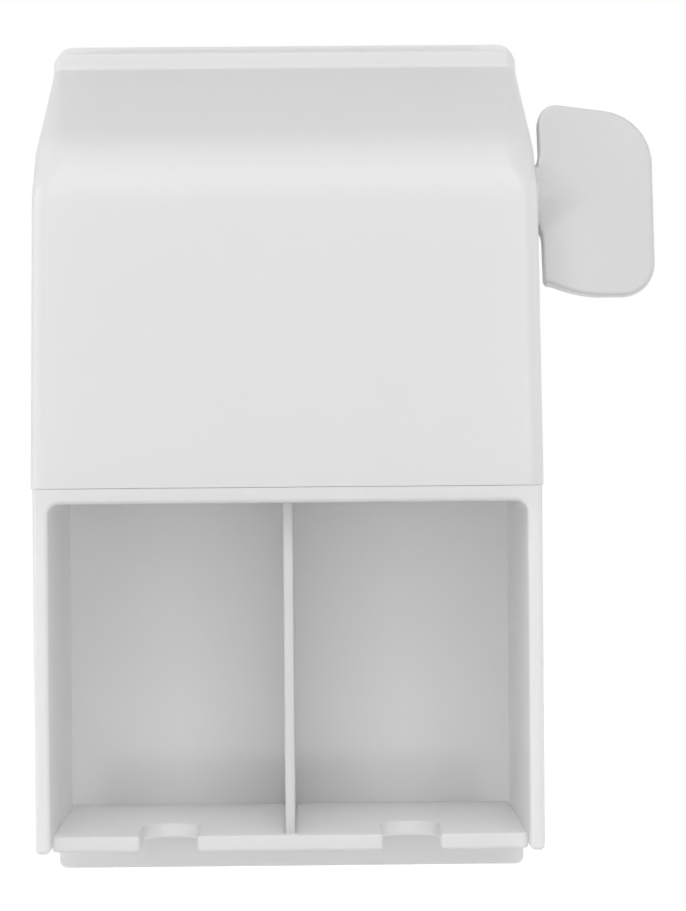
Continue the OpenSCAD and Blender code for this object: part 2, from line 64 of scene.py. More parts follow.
# Camera: level, a little over half a metre in front of the dispenser, turned slightly to
# the right, so the roof is seen from below its slope and the brush shelf from above.
CAMERA_PLACE = Vector((1.8, -601.0, 0.0)) * MM
CAMERA_YAW = math.radians(0.64)
CAMERA_ROLL = math.radians(0.5)
FOCAL_PIXELS = 3860
LONG_SIDE_PIXELS = 911

camera_data = bpy.data.cameras.new("camera")
camera_data.sensor_width = 36
camera_data.lens = FOCAL_PIXELS / LONG_SIDE_PIXELS * camera_data.sensor_width
camera_data.clip_start, camera_data.clip_end = 0.01, 30
camera = bpy.data.objects.new("camera", camera_data)
scene.collection.objects.link(camera)
camera.matrix_world = (
    Matrix.Translation(CAMERA_PLACE)
    @ Matrix.Rotation(-CAMERA_YAW, 4, "Z")
    @ Matrix.Rotation(math.pi / 2, 4, "X")
    @ Matrix.Rotation(-CAMERA_ROLL, 4, "Z")
)
scene.camera = camera
scene.view_settings.view_transform = "Standard"


# Room: soft boxes low and high in front, one on each side for the rims, weaker ones on the
# left, above and behind, white walls all round, and a pale floor below the dispenser.
class Socket:
    """A node's output, for maths that is written as plain expressions."""

    def __init__(self, nodes, link):
        self.nodes, self.link = nodes, link

    def math(self, operation, *others):
        return self.nodes.maths(operation, self, *others)

    def __add__(self, other):
        return self.math("ADD", other)

    def __sub__(self, other):
        return self.math("SUBTRACT", other)

    def __mul__(self, other):
        return self.math("MULTIPLY", other)

    def __rsub__(self, other):
        return self.nodes.maths("SUBTRACT", other, self)

    __radd__, __rmul__ = __add__, __mul__


class Nodes:
    """A node tree in which each node is added by its type, its settings and its sockets."""

    def __init__(self, tree):
        self.tree = tree
        tree.nodes.clear()

    def add(self, kind, settings=None, sockets=None, out=0):
        node = self.tree.nodes.new(kind)
        for name, value in (settings or {}).items():
            if name == "stops":
                ramp = node.color_ramp.elements
                while len(ramp) < len(value):
                    ramp.new(0.5)
                for element, (place, colour) in zip(ramp, value):
                    element.position, element.color = place, (*colour, 1)
            else:
                setattr(node, name, value)
        for name, value in (sockets or {}).items():
            if isinstance(value, Socket):
                self.tree.links.new(value.link, node.inputs[name])
            else:
                node.inputs[name].default_value = value
        self.node = node
        return Socket(self, node.outputs[out]) if node.outputs else None

    def maths(self, operation, *values):
        return self.add("ShaderNodeMath", {"operation": operation}, dict(enumerate(values)))


def seen_directly(nodes):
    """1 for rays from the camera, off glossy skin or through a clear wall, 0 for spread light"""
    nodes.add("ShaderNodeLightPath")
    rays = [Socket(nodes, nodes.node.outputs[name])
            for name in ("Is Camera Ray", "Is Glossy Ray", "Is Transmission Ray")]
    return rays[0].math("MAXIMUM", rays[1]).math("MAXIMUM", rays[2])


AMBIENT, WHITE_FLOOR = 0.15, 0.88
FLOOR_BELOW = 0.30
FLOOR_RADIUS = 6
BOX_FAR, BOX_SIZE = 1.45, 0.9
SOFT_BOXES = {  # angle to the right of the front, angle above the horizon, power in watts
    "low_front_light": (0, 8, 4.6),
    "high_front_light": (0, 42, 7.3),
    "left_light": (-60, 15, 2.3),
    "top_light": (0, 80, 2.7),
    "left_rim_light": (-95, 10, 6.0),
    "right_rim_light": (95, 10, 5.2),
    "back_light": (140, 5, 2.0),
}

world = bpy.data.worlds.new("studio")
world.use_nodes = True
scene.world = world
room = Nodes(world.node_tree)
strength = seen_directly(room) * (1 - AMBIENT) + AMBIENT
room.add("ShaderNodeOutputWorld", sockets={"Surface": room.add(
    "ShaderNodeBackground", sockets={"Color": (1, 1, 1, 1), "Strength": strength})})

for name, (side, rise, power) in SOFT_BOXES.items():
    side, rise = math.radians(side), math.radians(rise)
    data = bpy.data.lights.new(name, "AREA")
    data.shape, data.size, data.energy = "SQUARE", BOX_SIZE, power
    light = bpy.data.objects.new(name, data)
    scene.collection.objects.link(light)
    light.location = BOX_FAR * Vector((
        math.cos(rise) * math.sin(side), -math.cos(rise) * math.cos(side), math.sin(rise)))
    light.rotation_euler = (-light.location).to_track_quat("-Z", "Y").to_euler()
    light.visible_camera = False

floor_mesh = bpy.data.meshes.new("floor")
floor_form = bmesh.new()
bmesh.ops.create_circle(floor_form, cap_ends=True, radius=FLOOR_RADIUS, segments=96,
                        matrix=Matrix.Translation((0, 0, cad_low.z - FLOOR_BELOW)))
floor_form.to_mesh(floor_mesh)
floor_form.free()
floor = bpy.data.objects.new("floor", floor_mesh)
scene.collection.objects.link(floor)
floor_paint = bpy.data.materials.new("floor_paint")
floor_paint.use_nodes = True
floor_nodes = Nodes(floor_paint.node_tree)
lift = seen_directly(floor_nodes) * WHITE_FLOOR
floor_nodes.add("ShaderNodeOutputMaterial", sockets={"Surface": floor_nodes.add(
    "ShaderNodeBsdfPrincipled", sockets={
        "Base Color": (0.88, 0.88, 0.88, 1), "Roughness": 0.9,
        "Emission Color": (1, 1, 1, 1), "Emission Strength": lift})})
floor_mesh.materials.append(floor_paint)


# Cover: the moulded housing, one ABS shell with a flat front, a curve into a sloped roof
# and a lip at the back. It slides onto the base's rails, and a notch in its right side
# passes the key's neck.
def satin_plastic(name, colour, roughness, seed, mottle=0.012, grain=1.0, glow=0.0):
    """Moulded plastic: a little uneven in tone and gloss, with a fine waviness in its skin. A
    thin wall lets some light through, by the share given as glow."""
    paint = bpy.data.materials.new(name)
    paint.use_nodes = True
    skin = Nodes(paint.node_tree)
    place = skin.add("ShaderNodeTexCoord", out=3)
    shifted = skin.add("ShaderNodeMapping", sockets={
        "Vector": place, "Location": (seed * 0.37, seed * 0.11, seed * 0.23)})
    cloud = skin.add("ShaderNodeTexNoise", sockets={
        "Vector": shifted, "Scale": 38, "Detail": 3, "Roughness": 0.55})
    flow = skin.add("ShaderNodeTexNoise", sockets={
        "Vector": shifted, "Scale": 240, "Detail": 2, "Roughness": 0.5})
    fine = skin.add("ShaderNodeTexNoise", sockets={
        "Vector": shifted, "Scale": 2600, "Detail": 2, "Roughness": 0.6})
    tone = (cloud - 0.5) * (2 * mottle) + (fine - 0.5) * mottle
    shade = skin.add("ShaderNodeMix", {"data_type": "RGBA"}, {
        0: tone.math("ADD", 0.5), 6: (*[c * 0.5 for c in colour], 1),
        7: (*[c * 1.5 for c in colour], 1)}, out=2)
    gloss = (flow - 0.5) * 0.10 + (fine - 0.5) * 0.06 + roughness
    height = flow * 1.0 + fine * 0.35
    bump = skin.add("ShaderNodeBump", sockets={
        "Strength": 0.35 * grain, "Distance": 0.00006, "Height": height})
    surface = skin.add("ShaderNodeBsdfPrincipled", sockets={
        "Base Color": shade, "Roughness": gloss, "IOR": 1.5, "Normal": bump})
    if glow:
        through = skin.add("ShaderNodeBsdfTranslucent", sockets={"Color": (*colour, 1)})
        surface = skin.add("ShaderNodeMixShader", sockets={0: glow, 1: surface, 2: through})
    skin.add("ShaderNodeOutputMaterial", sockets={"Surface": surface})
    return paint


def new_piece(name, form):
    """Object that holds a bmesh, at the origin, with its place in its mesh"""
    mesh = bpy.data.meshes.new(name)
    form.to_mesh(mesh)
    form.free()
    piece = bpy.data.objects.new(name, mesh)
    scene.collection.objects.link(piece)
    return piece


def bake(piece):
    """Turns what the piece's modifiers make into its own plain mesh"""
    shapes = bpy.context.evaluated_depsgraph_get()
    made = bpy.data.meshes.new_from_object(piece.evaluated_get(shapes), depsgraph=shapes)
    piece.modifiers.clear()
    piece.data = made


def round_edges(piece, radius_at, segments=3, clamp=False):
    """Rounds each sharp outward edge by the radius in mm that radius_at gives for its middle"""
    form = bmesh.new()
    form.from_mesh(piece.data)
    layer = form.edges.layers.float.new("bevel_weight_edge")
    radii = {}
    for edge in form.edges:
        if edge.is_convex and edge.calc_face_angle(0) > math.radians(28):
            middle = (edge.verts[0].co + edge.verts[1].co) / 2 / MM
            radii[edge] = radius_at(middle.x, middle.y, middle.z)
    widest = max(radii.values())
    for edge, radius in radii.items():
        edge[layer] = radius / widest
    form.to_mesh(piece.data)
    form.free()
    bevel = piece.modifiers.new("edges", "BEVEL")
    bevel.limit_method, bevel.width, bevel.segments = "WEIGHT", widest * MM, segments
    bevel.use_clamp_overlap = clamp
    bake(piece)
    weights = piece.data.attributes.get("bevel_weight_edge")
    if weights:
        piece.data.attributes.remove(weights)


def dress(piece, paint, body, slot, *nodes):
    """Smooth shading that keeps flat faces flat, the finish, and what the piece stands for"""
    piece.data.materials.clear()
    piece.data.materials.append(paint)
    piece.data.shade_smooth()
    piece.data.set_sharp_from_angle(angle=math.radians(34))
    level = piece.modifiers.new("flat_faces", "WEIGHTED_NORMAL")
    level.keep_sharp, level.weight = True, 100
    if body:
        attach(piece, body)
    if nodes:
        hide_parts(*nodes)


def arc(centre, radius, start, end, steps):
    """Points of an arc in depth and height, with angles in degrees"""
    turns = [math.radians(start + (end - start) * i / steps) for i in range(steps + 1)]
    return [(centre[0] + radius * math.cos(t), centre[1] + radius * math.sin(t)) for t in turns]


# Sizes are in mm: depths run back from the front plane, and heights up from the middle
DEPTH = 56.0
COVER_FOOT, COVER_BACK, COVER_WALL = -4.36, 53.6, 2.0
COVER_HALF, COVER_DRAFT = 36.35, math.tan(math.radians(0.7))
ROOF_SLOPE = 17.5
BROW_LOW, BROW_HIGH = ((11.0, 35.976), 11.0), ((12.721, 33.519), 14.0)
BROW_TURN = 55.0
LIP_FRONT, LIP_BACK, LIP_TOP, LIP_RISE = 49.2, 50.8, 62.3, 2.6
LIP_FILLET, LIP_EDGE = 0.8, 0.7
LIP_SIDE, LIP_CORNER = 1.5, 2.1
FRONT_ROUND, BROW_ROUND, ROOF_LOW_ROUND, ROOF_ROUND = 2.2, 5.0, 4.0, 1.5
COVER_EDGE, SEAM_EDGE = 0.15, 0.06
TUBE_SLOT_HALF = 30.0
SHAFT_D, SHAFT_Z = 26.0, 37.8
NECK_HOLE, NECK_HOLE_START, BEYOND_KEY = 4.9, 30.6, 72.0
RIB_IN, RIB_OUT, RIB_FRONT, RIB_REAR, RIB_LOW, RIB_HIGH = 32.7, 34.6, 8.0, 44.0, -3.2, -1.7
BROW_LOW_STEPS, BROW_HIGH_STEPS, ROUND_STEPS = 20, 8, 8


def cover_half(z):
    """Half of the cover's width, which shrinks a little upwards so that the mould opens"""
    return COVER_HALF - (z - COVER_FOOT) * COVER_DRAFT


def point(x, d, z):
    """Place of a point given in mm as X, depth behind the front plane and height"""
    return Vector((x, d - DEPTH, z)) * MM


def brow(inset, steps):
    """The curve from front to roof, moved inwards"""
    (low, low_radius), (high, high_radius) = BROW_LOW, BROW_HIGH
    return (arc(low, low_radius - inset, 180, 180 - BROW_TURN, steps)
            + arc(high, high_radius - inset, 180 - BROW_TURN, 90 + ROOF_SLOPE, steps)[1:])


def prism(outline, half):
    """Closed solid over an outline in depth and height, with a half width for each height"""
    form = bmesh.new()
    sides = []
    for sign in (-1, 1):
        sides.append([form.verts.new(point(sign * half(z), d, z)) for d, z in outline])
    for i in range(len(outline)):
        j = (i + 1) % len(outline)
        form.faces.new((sides[0][i], sides[0][j], sides[1][j], sides[1][i]))
    form.faces.new(sides[0][::-1])
    form.faces.new(sides[1])
    bmesh.ops.recalc_face_normals(form, faces=form.faces)
    return form


def brow_round(share):
    """Radius of the side edge along the curve from front to roof, widest half way up it"""
    if share < 0.55:
        rise = math.sin(math.pi / 2 * share / 0.55) ** 2
        return FRONT_ROUND + (BROW_ROUND - FRONT_ROUND) * rise
    return BROW_ROUND + (ROOF_LOW_ROUND - BROW_ROUND) * (share - 0.55) / 0.45


def cover_skin():
    """Outside of the cover as a closed solid, its side edges rounded along the outline"""
    stations = [(0.0, COVER_FOOT, 180.0, FRONT_ROUND)]
    low_arc = arc(*BROW_LOW, 180, 180 - BROW_TURN, BROW_LOW_STEPS)
    high_arc = arc(*BROW_HIGH, 180 - BROW_TURN, 90 + ROOF_SLOPE, BROW_HIGH_STEPS)[1:]
    last = BROW_LOW_STEPS + BROW_HIGH_STEPS
    for i, (d, z) in enumerate(low_arc + high_arc):
        turn = 180 - BROW_TURN * min(i / BROW_LOW_STEPS, 1) - (
            90 - ROOF_SLOPE - BROW_TURN) * max((i - BROW_LOW_STEPS) / BROW_HIGH_STEPS, 0)
        stations.append((d, z, turn, brow_round(i / last)))
    foot = (LIP_FRONT - LIP_FILLET, LIP_TOP - LIP_RISE + LIP_FILLET * (
        1 / math.cos(math.radians(ROOF_SLOPE)) - math.tan(math.radians(ROOF_SLOPE))))
    for i, (d, z) in enumerate(arc(foot, LIP_FILLET, ROOF_SLOPE - 90, 0, ROUND_STEPS)):
        share = i / ROUND_STEPS
        stations.append((d, z, ROOF_SLOPE + 90 + (90 - ROOF_SLOPE) * share,
                         ROOF_ROUND + (LIP_SIDE - ROOF_ROUND) * share))
    inner = (LIP_FRONT + LIP_SIDE, LIP_TOP - LIP_CORNER)
    tops = arc((LIP_FRONT + LIP_EDGE, LIP_TOP - LIP_EDGE), LIP_EDGE, 180, 90, ROUND_STEPS)
    rows = []
    for d, z, turn, size in stations:
        low = min(z - math.sin(math.radians(turn)) * size, inner[1])
        rows.append(((d, z), (d - math.cos(math.radians(turn)) * size, low), size))
    for i, (d, z) in enumerate(tops):
        rows.append(((d, z), inner, LIP_SIDE + (LIP_CORNER - LIP_SIDE) * i / ROUND_STEPS))
    rows.append(((COVER_BACK, LIP_TOP), (COVER_BACK, LIP_TOP - LIP_CORNER), LIP_CORNER))

    form = bmesh.new()
    grid = []
    for outer, inside, spread in rows:
        line = []
        for sign in (-1, 1):
            half = []
            for k in range(ROUND_STEPS + 1):
                swing = math.pi / 2 * k / ROUND_STEPS
                drop = 1 - math.cos(swing)
                d = outer[0] + (inside[0] - outer[0]) * drop
                z = outer[1] + (inside[1] - outer[1]) * drop
                half.append(point(sign * (cover_half(z) - spread * (1 - math.sin(swing))), d, z))
            line += half[::-1] if sign < 0 else half
        grid.append([form.verts.new(p) for p in line])
    for a, b in zip(grid, grid[1:]):
        for i in range(len(a) - 1):
            form.faces.new((a[i], a[i + 1], b[i + 1], b[i]))
    feet = [form.verts.new(point(s * cover_half(COVER_FOOT), COVER_BACK, COVER_FOOT))
            for s in (-1, 1)]
    form.faces.new([row[0] for row in grid] + [feet[0]])
    form.faces.new([row[-1] for row in grid] + [feet[1]])
    form.faces.new(grid[0] + [feet[1], feet[0]])
    form.faces.new(grid[-1] + [feet[1], feet[0]])
    bmesh.ops.remove_doubles(form, verts=form.verts, dist=1e-7)
    bmesh.ops.recalc_face_normals(form, faces=form.faces)
    return form


def block(low, high):
    """Square block between two opposite corners, in mm"""
    form = bmesh.new()
    bmesh.ops.create_cube(form, size=1)
    a, b = point(*low), point(*high)
    for vert in form.verts:
        vert.co = Vector(a[i] + (b[i] - a[i]) * (vert.co[i] + 0.5) for i in range(3))
    return form


def rod(start, end, radius, end_radius=None, segments=64):
    """Round bar or cone from one point to another, in mm"""
    start, end = point(*start), point(*end)
    form = bmesh.new()
    bmesh.ops.create_cone(
        form, cap_ends=True, segments=segments, radius1=radius * MM,
        radius2=(radius if end_radius is None else end_radius) * MM, depth=(end - start).length,
        matrix=Matrix.Translation((start + end) / 2)
        @ (end - start).to_track_quat("Z", "Y").to_matrix().to_4x4())
    return form


def combine(piece, form, operation):
    """Cuts a solid out of the piece, or joins it on"""
    tool = new_piece("tool", form)
    change = piece.modifiers.new("change", "BOOLEAN")
    change.object, change.operation, change.solver = tool, operation, "EXACT"
    bake(piece)
    bpy.data.objects.remove(tool)


def under_roof(d):
    """Height of the cavity under the roof"""
    slope = math.radians(ROOF_SLOPE)
    roof = LIP_TOP - LIP_RISE + (d - LIP_FRONT) * math.tan(slope)
    return roof - COVER_WALL / math.cos(slope)


cover = new_piece("housing_cover", cover_skin())
past_back = COVER_BACK + 1
cavity = [(COVER_WALL, COVER_FOOT - 1)] + brow(COVER_WALL, 16) + [
    (past_back, under_roof(past_back)), (past_back, COVER_FOOT - 1)]
combine(cover, prism(cavity, lambda z: cover_half(z) - COVER_WALL), "DIFFERENCE")
combine(cover, block((-TUBE_SLOT_HALF, LIP_BACK, BROW_LOW[0][1]),
                     (TUBE_SLOT_HALF, past_back, LIP_TOP + 1)), "DIFFERENCE")
combine(cover, rod((NECK_HOLE_START, SHAFT_D, SHAFT_Z), (BEYOND_KEY, SHAFT_D, SHAFT_Z),
                   NECK_HOLE), "DIFFERENCE")
combine(cover, block((NECK_HOLE_START, SHAFT_D, SHAFT_Z - NECK_HOLE),
                     (BEYOND_KEY, past_back, SHAFT_Z + NECK_HOLE)), "DIFFERENCE")
for low_x, high_x in ((-RIB_OUT, -RIB_IN), (RIB_IN, RIB_OUT)):
    combine(cover, block((low_x, RIB_FRONT, RIB_LOW), (high_x, RIB_REAR, RIB_HIGH)), "UNION")
round_edges(cover, lambda x, y, z: SEAM_EDGE if z < COVER_FOOT + 0.1 else COVER_EDGE, 2)
shell_plastic = satin_plastic("shell_plastic", (0.92, 0.92, 0.92), 0.38, 1, glow=0.25)
dress(cover, shell_plastic, "housing", "white_shell", "cover")


# Base: one ABS moulding of back plate, bay walls and middle shelf. Its front edges are
# rounded by the mould, and its back bears the round marks of the ejector pins.
def copy_of(node, name):
    """Merged copy of a CAD node's mesh, its flat faces whole again"""
    form = bmesh.new()
    form.from_mesh(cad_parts[node].data)
    bmesh.ops.remove_doubles(form, verts=form.verts, dist=2e-6)
    bmesh.ops.dissolve_limit(form, angle_limit=0.004, verts=form.verts, edges=form.edges)
    for face in form.faces:
        face.smooth = True
    return new_piece(name, form)


def rounded_plate(half_w, half_h, front, back, corner, edge, middle=0.0):
    """Upright plate with round corners and rounded rims, front and back measured from the wall"""
    form = bmesh.new()
    outline = []
    for sx, sz, start in ((1, 1, 0), (-1, 1, 90), (-1, -1, 180), (1, -1, 270)):
        centre = (sx * (half_w - corner), middle + sz * (half_h - corner))
        outline += arc(centre, corner, start, start + 90, 8)
    rims = [[form.verts.new(Vector((x, y, z)) * MM) for x, z in outline] for y in (front, back)]
    for i in range(len(outline)):
        j = (i + 1) % len(outline)
        form.faces.new((rims[0][i], rims[0][j], rims[1][j], rims[1][i]))
    for rim in rims:
        form.faces.new(rim)
    bmesh.ops.recalc_face_normals(form, faces=form.faces)
    plate = new_piece("plate", form)
    round_edges(plate, lambda x, y, z: edge, 4)
    form = bmesh.new()
    form.from_mesh(plate.data)
    bpy.data.objects.remove(plate)
    return form


PLATE_FRONT, PLATE_BACK, PLATE_EDGE = -2.203, -0.003, 0.4
UPPER_PLATE = {"half_w": 35.5, "half_h": 36.8, "corner": 2.6, "middle": 26.797}
LOWER_PLATE = {"half_w": 35.997, "half_h": 29.6, "corner": 1.3, "middle": -33.997}
BAYS_LOW, BAYS_HIGH = (-36.1, -1, -56.1), (36.1, 55.0, -4.3)
RAILS_LOW, RAILS_HIGH = (-35, 1, -6), (35, 54.8, 1)
MARKS = ((-12, 4), (12, 4), (-12, 42), (12, 42), (-24, -30), (0, -30), (24, -30))
MARK_RADIUS, MARK_DEEP = 1.8, 0.08
FRAME_ROUND, SEAM_ROUND, SEAM_Z = 0.66, 0.1, -4.5


def merged(pieces):
    """One form that holds the meshes of the given pieces, which it takes away"""
    form = bmesh.new()
    for piece in pieces:
        form.from_mesh(piece.data)
        bpy.data.objects.remove(piece)
    return form


def frame_round(x, y, z):
    """Radius of the base's edges, which the mould rounds in front only"""
    if y > 0.1 - DEPTH:
        return 0
    return SEAM_ROUND if z > SEAM_Z else FRAME_ROUND


base = copy_of("base_frame", "base_moulding")
plates = [rounded_plate(**sizes, front=PLATE_FRONT, back=PLATE_BACK, edge=PLATE_EDGE)
          for sizes in (UPPER_PLATE, LOWER_PLATE)]
envelope = new_piece("envelope", plates[0])
combine(envelope, plates[1], "UNION")
combine(envelope, block(BAYS_LOW, BAYS_HIGH), "UNION")
combine(envelope, block(RAILS_LOW, RAILS_HIGH), "UNION")
combine(base, merged([envelope]), "INTERSECT")
marks = [new_piece("mark", rod((x, DEPTH - MARK_DEEP, z), (x, DEPTH + 1, z), MARK_RADIUS,
                               segments=48)) for x, z in MARKS]
combine(base, merged(marks), "DIFFERENCE")
round_edges(base, frame_round, 4)
dress(base, shell_plastic, "base", "white_shell", "base_frame")


# Brush shelf: a separate ABS plate that snaps in between the bay walls, with an open slot
# for a toothbrush neck in each bay.
def fine_copy(node, name, radius, paint, body, slot, segments=2):
    """A CAD part with its sharp edges broken as the mould or the tool leaves them"""
    piece = copy_of(node, name)
    round_edges(piece, lambda x, y, z: radius, segments)
    dress(piece, paint, body, slot, node)
    return piece


insert_plastic = satin_plastic("insert_plastic", (0.86, 0.86, 0.86), 0.40, 3, glow=0.35)
fine_copy("brush_shelf", "brush_shelf_plate", 0.4, insert_plastic, "base", "white_shell", 3)

# Divider: a thin ABS plate held in grooves between the two bays. Its front edge is rounded
# and stands a little behind the walls.
fine_copy("bay_divider", "bay_divider_plate", 0.3, insert_plastic, "base", "white_shell", 3)


# Key: a thumb wing moulded in one with its neck, which swells softly out of the wing, and a
# square spigot with a cross hole. It stands a little off upright, as the last turn left it.
NECK_RADIUS, NECK_START, WING_START = 4.4, 33.2, 37.36
WING_HALF, WING_ROOT_HALF, WING_ROUND = 1.3, 2.2, 0.5
FLARE, FLARE_SINK = 13.0, 1.5
NECK_EDGE, ROOT_BLEND = 0.5, 2.2
SPIGOT_START, SPIGOT_HALF, PIN_X, PIN_HOLE = 27.8, 2.2, 32.0, 0.82
VOXEL, SETTLING_STEPS, PROBE, LONGEST_STEP = 0.22, 12, 0.02, 0.3
KEY_TURN = Matrix.Translation(Vector((0, -30, SHAFT_Z)) * MM) @ Matrix.Rotation(
    math.radians(-8), 4, "X")
WING_OUTLINE = (
    arc((40.15, 11.0), 2.75, 180, 84, 8) + arc((46.2, 4.9), 8.1, 83, 0, 16)
    + arc((49.55, -10.0), 4.85, 0, -94, 12) + arc((47.4, 5.0), 19.9, -95, -114, 6)
    + arc((38.95, -12.15), 1.0, -118, -180, 5))


def outline_distance(outline, x, z):
    """Distance of places from a closed outline, negative inside it"""
    nearest, inside = np.full(x.shape, 1e9), np.zeros(x.shape, bool)
    for (x0, z0), (x1, z1) in zip(outline, outline[1:] + outline[:1]):
        along = ((x - x0) * (x1 - x0) + (z - z0) * (z1 - z0)) / ((x1 - x0)**2 + (z1 - z0)**2)
        along = np.clip(along, 0, 1)
        nearest = np.minimum(nearest, np.hypot(x - x0 - along * (x1 - x0),
                                               z - z0 - along * (z1 - z0)))
        if z0 != z1:
            inside ^= ((z0 > z) != (z1 > z)) & (x < (x1 - x0) * (z - z0) / (z1 - z0) + x0)
    return np.where(inside, -nearest, nearest)


def blend_least(a, b, reach):
    """The lesser of two distances, with a fillet of about this reach between them"""
    near = np.maximum(reach - np.abs(a - b), 0) / reach
    return np.minimum(a, b) - near * near * reach / 4


def key_distance(place):
    """Distance of places from the key's skin, in mm about the key's own axis"""
    x, y, z = place.T
    rim = outline_distance(WING_OUTLINE, x, z) + WING_ROUND
    taper = np.clip(1 - (x - WING_START) / FLARE, 0, 1)**1.6
    face = np.abs(y) - WING_HALF - (WING_ROOT_HALF - WING_HALF) * taper + WING_ROUND
    wing = (np.hypot(np.maximum(rim, 0), np.maximum(face, 0))
            + np.minimum(np.maximum(rim, face), 0) - WING_ROUND)
    share = np.clip((x - WING_START) / FLARE, 0, 1)
    slope = np.where(share > 0, 2 * (NECK_RADIUS + FLARE_SINK) * (1 - share) / FLARE, 0)
    radius = (NECK_RADIUS + FLARE_SINK) * (1 - share)**2 - FLARE_SINK
    neck = (np.hypot(y, z) - radius) / np.hypot(1, slope)
    neck = -blend_least(-neck, x - NECK_START, NECK_EDGE)
    return blend_least(wing, neck, ROOT_BLEND)


start = bmesh.new()
rims = [[start.verts.new(Vector((x, y, z))) for x, z in WING_OUTLINE]
        for y in (-WING_ROOT_HALF, WING_ROOT_HALF)]
for a, b, c, e in zip(*rims, rims[0][1:] + rims[0][:1], rims[1][1:] + rims[1][:1]):
    start.faces.new((a, c, e, b))
for rim in rims:
    start.faces.new(rim)
bmesh.ops.create_cone(start, cap_ends=True, segments=48, radius1=NECK_RADIUS, radius2=1.6,
                      depth=12, matrix=Matrix.Translation((NECK_START + 6, 0, 0))
                      @ Matrix.Rotation(math.pi / 2, 4, "Y"))
bmesh.ops.recalc_face_normals(start, faces=start.faces)
key = new_piece("wing_key", start)
skin = key.modifiers.new("even_mesh", "REMESH")
skin.mode, skin.voxel_size, skin.adaptivity = "VOXEL", VOXEL, 0
bake(key)
place = np.empty(len(key.data.vertices) * 3)
key.data.vertices.foreach_get("co", place)
place = place.reshape(-1, 3)
for _ in range(SETTLING_STEPS):
    far = key_distance(place)
    lean = np.stack([key_distance(place + step) - key_distance(place - step)
                     for step in np.eye(3) * PROBE], 1) / (2 * PROBE)
    size = np.maximum((lean**2).sum(1), 0.2)
    place -= np.clip(far / size, -LONGEST_STEP, LONGEST_STEP)[:, None] * lean
key.data.vertices.foreach_set("co", (place * MM).ravel())
key.data.update()
combine(key, block((SPIGOT_START, DEPTH - SPIGOT_HALF, -SPIGOT_HALF),
                   (NECK_START + 0.6, DEPTH + SPIGOT_HALF, SPIGOT_HALF)), "UNION")
combine(key, rod((PIN_X, DEPTH, -6), (PIN_X, DEPTH, 6), PIN_HOLE, segments=32), "DIFFERENCE")
key.data.transform(KEY_TURN)
# The key is the same white plastic as the shell. Its base colour is painted a darker grey as painted
# shade, for the shade it stands in beside the cover.
key_plastic = satin_plastic("key_plastic_painted_shade", (0.70, 0.70, 0.70), 0.34, 2)
dress(key, key_plastic, "winder", "key_plastic", "key")


# Key pin: a dowel cut from drawn steel, pressed through the shaft and the key's spigot, its
# ends broken by a chamfer.
def steel(name, tone, seed, turned=(1, 1, 1)):
    """Bright steel with the faint lines of drawing or turning along the way it was worked"""
    paint = bpy.data.materials.new(name)
    paint.use_nodes = True
    skin = Nodes(paint.node_tree)
    place = skin.add("ShaderNodeTexCoord", out=3)
    shifted = skin.add("ShaderNodeMapping", sockets={
        "Vector": place, "Location": (seed * 0.13, seed * 0.29, seed * 0.17), "Scale": turned})
    lines = skin.add("ShaderNodeTexNoise", sockets={
        "Vector": shifted, "Scale": 1500, "Detail": 3, "Roughness": 0.6})
    stain = skin.add("ShaderNodeTexNoise", sockets={"Vector": place, "Scale": 300, "Detail": 2})
    shade = skin.add("ShaderNodeMix", {"data_type": "RGBA"}, {
        0: (lines - 0.5) * 0.5 + (stain - 0.5) * 0.4 + 0.5,
        6: (tone * 0.85, tone * 0.85, tone * 0.86, 1), 7: (tone * 1.1, tone * 1.1, tone * 1.1, 1)},
        out=2)
    bump = skin.add("ShaderNodeBump", sockets={
        "Strength": 0.3, "Distance": 0.00002, "Height": lines})
    skin.add("ShaderNodeOutputMaterial", sockets={"Surface": skin.add(
        "ShaderNodeBsdfPrincipled", sockets={
            "Base Color": shade, "Metallic": 1.0, "Roughness": lines * 0.2 + stain * 0.15 + 0.18,
            "Normal": bump})})
    return paint


drawn_steel = steel("drawn_steel", 0.62, 4, (1, 1, 0.08))
fine_copy("key_pin", "dowel_pin", 0.15, drawn_steel, "winder", "steel")

# Winder: a slit shaft that takes the tube's tail, turned by the key. Moulded in grey ABS,
# with a collar at each end and a square for the ratchet wheel.
inner_plastic = satin_plastic("inner_plastic_skin", (0.56, 0.56, 0.57), 0.46, 5, 0.03, 1.6)
fine_copy("winding_shaft", "slit_shaft", 0.12, inner_plastic, "winder", "inner_plastic")

# Cheeks: two upright plates screwed to the back plate, one on each side of the tube, that
# carry the shaft's bushes and the roller's axle.
for side in ("left", "right"):
    fine_copy(side + "_cheek", side + "_cheek_plate", 0.2, inner_plastic, "base",
              "inner_plastic")

# Bushes: flanged rings moulded in acetal, which runs without grease. They are pressed into
# the cheeks from inside and carry the shaft.
acetal = satin_plastic("acetal", (0.78, 0.77, 0.74), 0.26, 6, 0.008, 0.6)
for side in ("left", "right"):
    fine_copy(side + "_bush", side + "_flanged_bush", 0.15, acetal, "base", "bush_plastic")
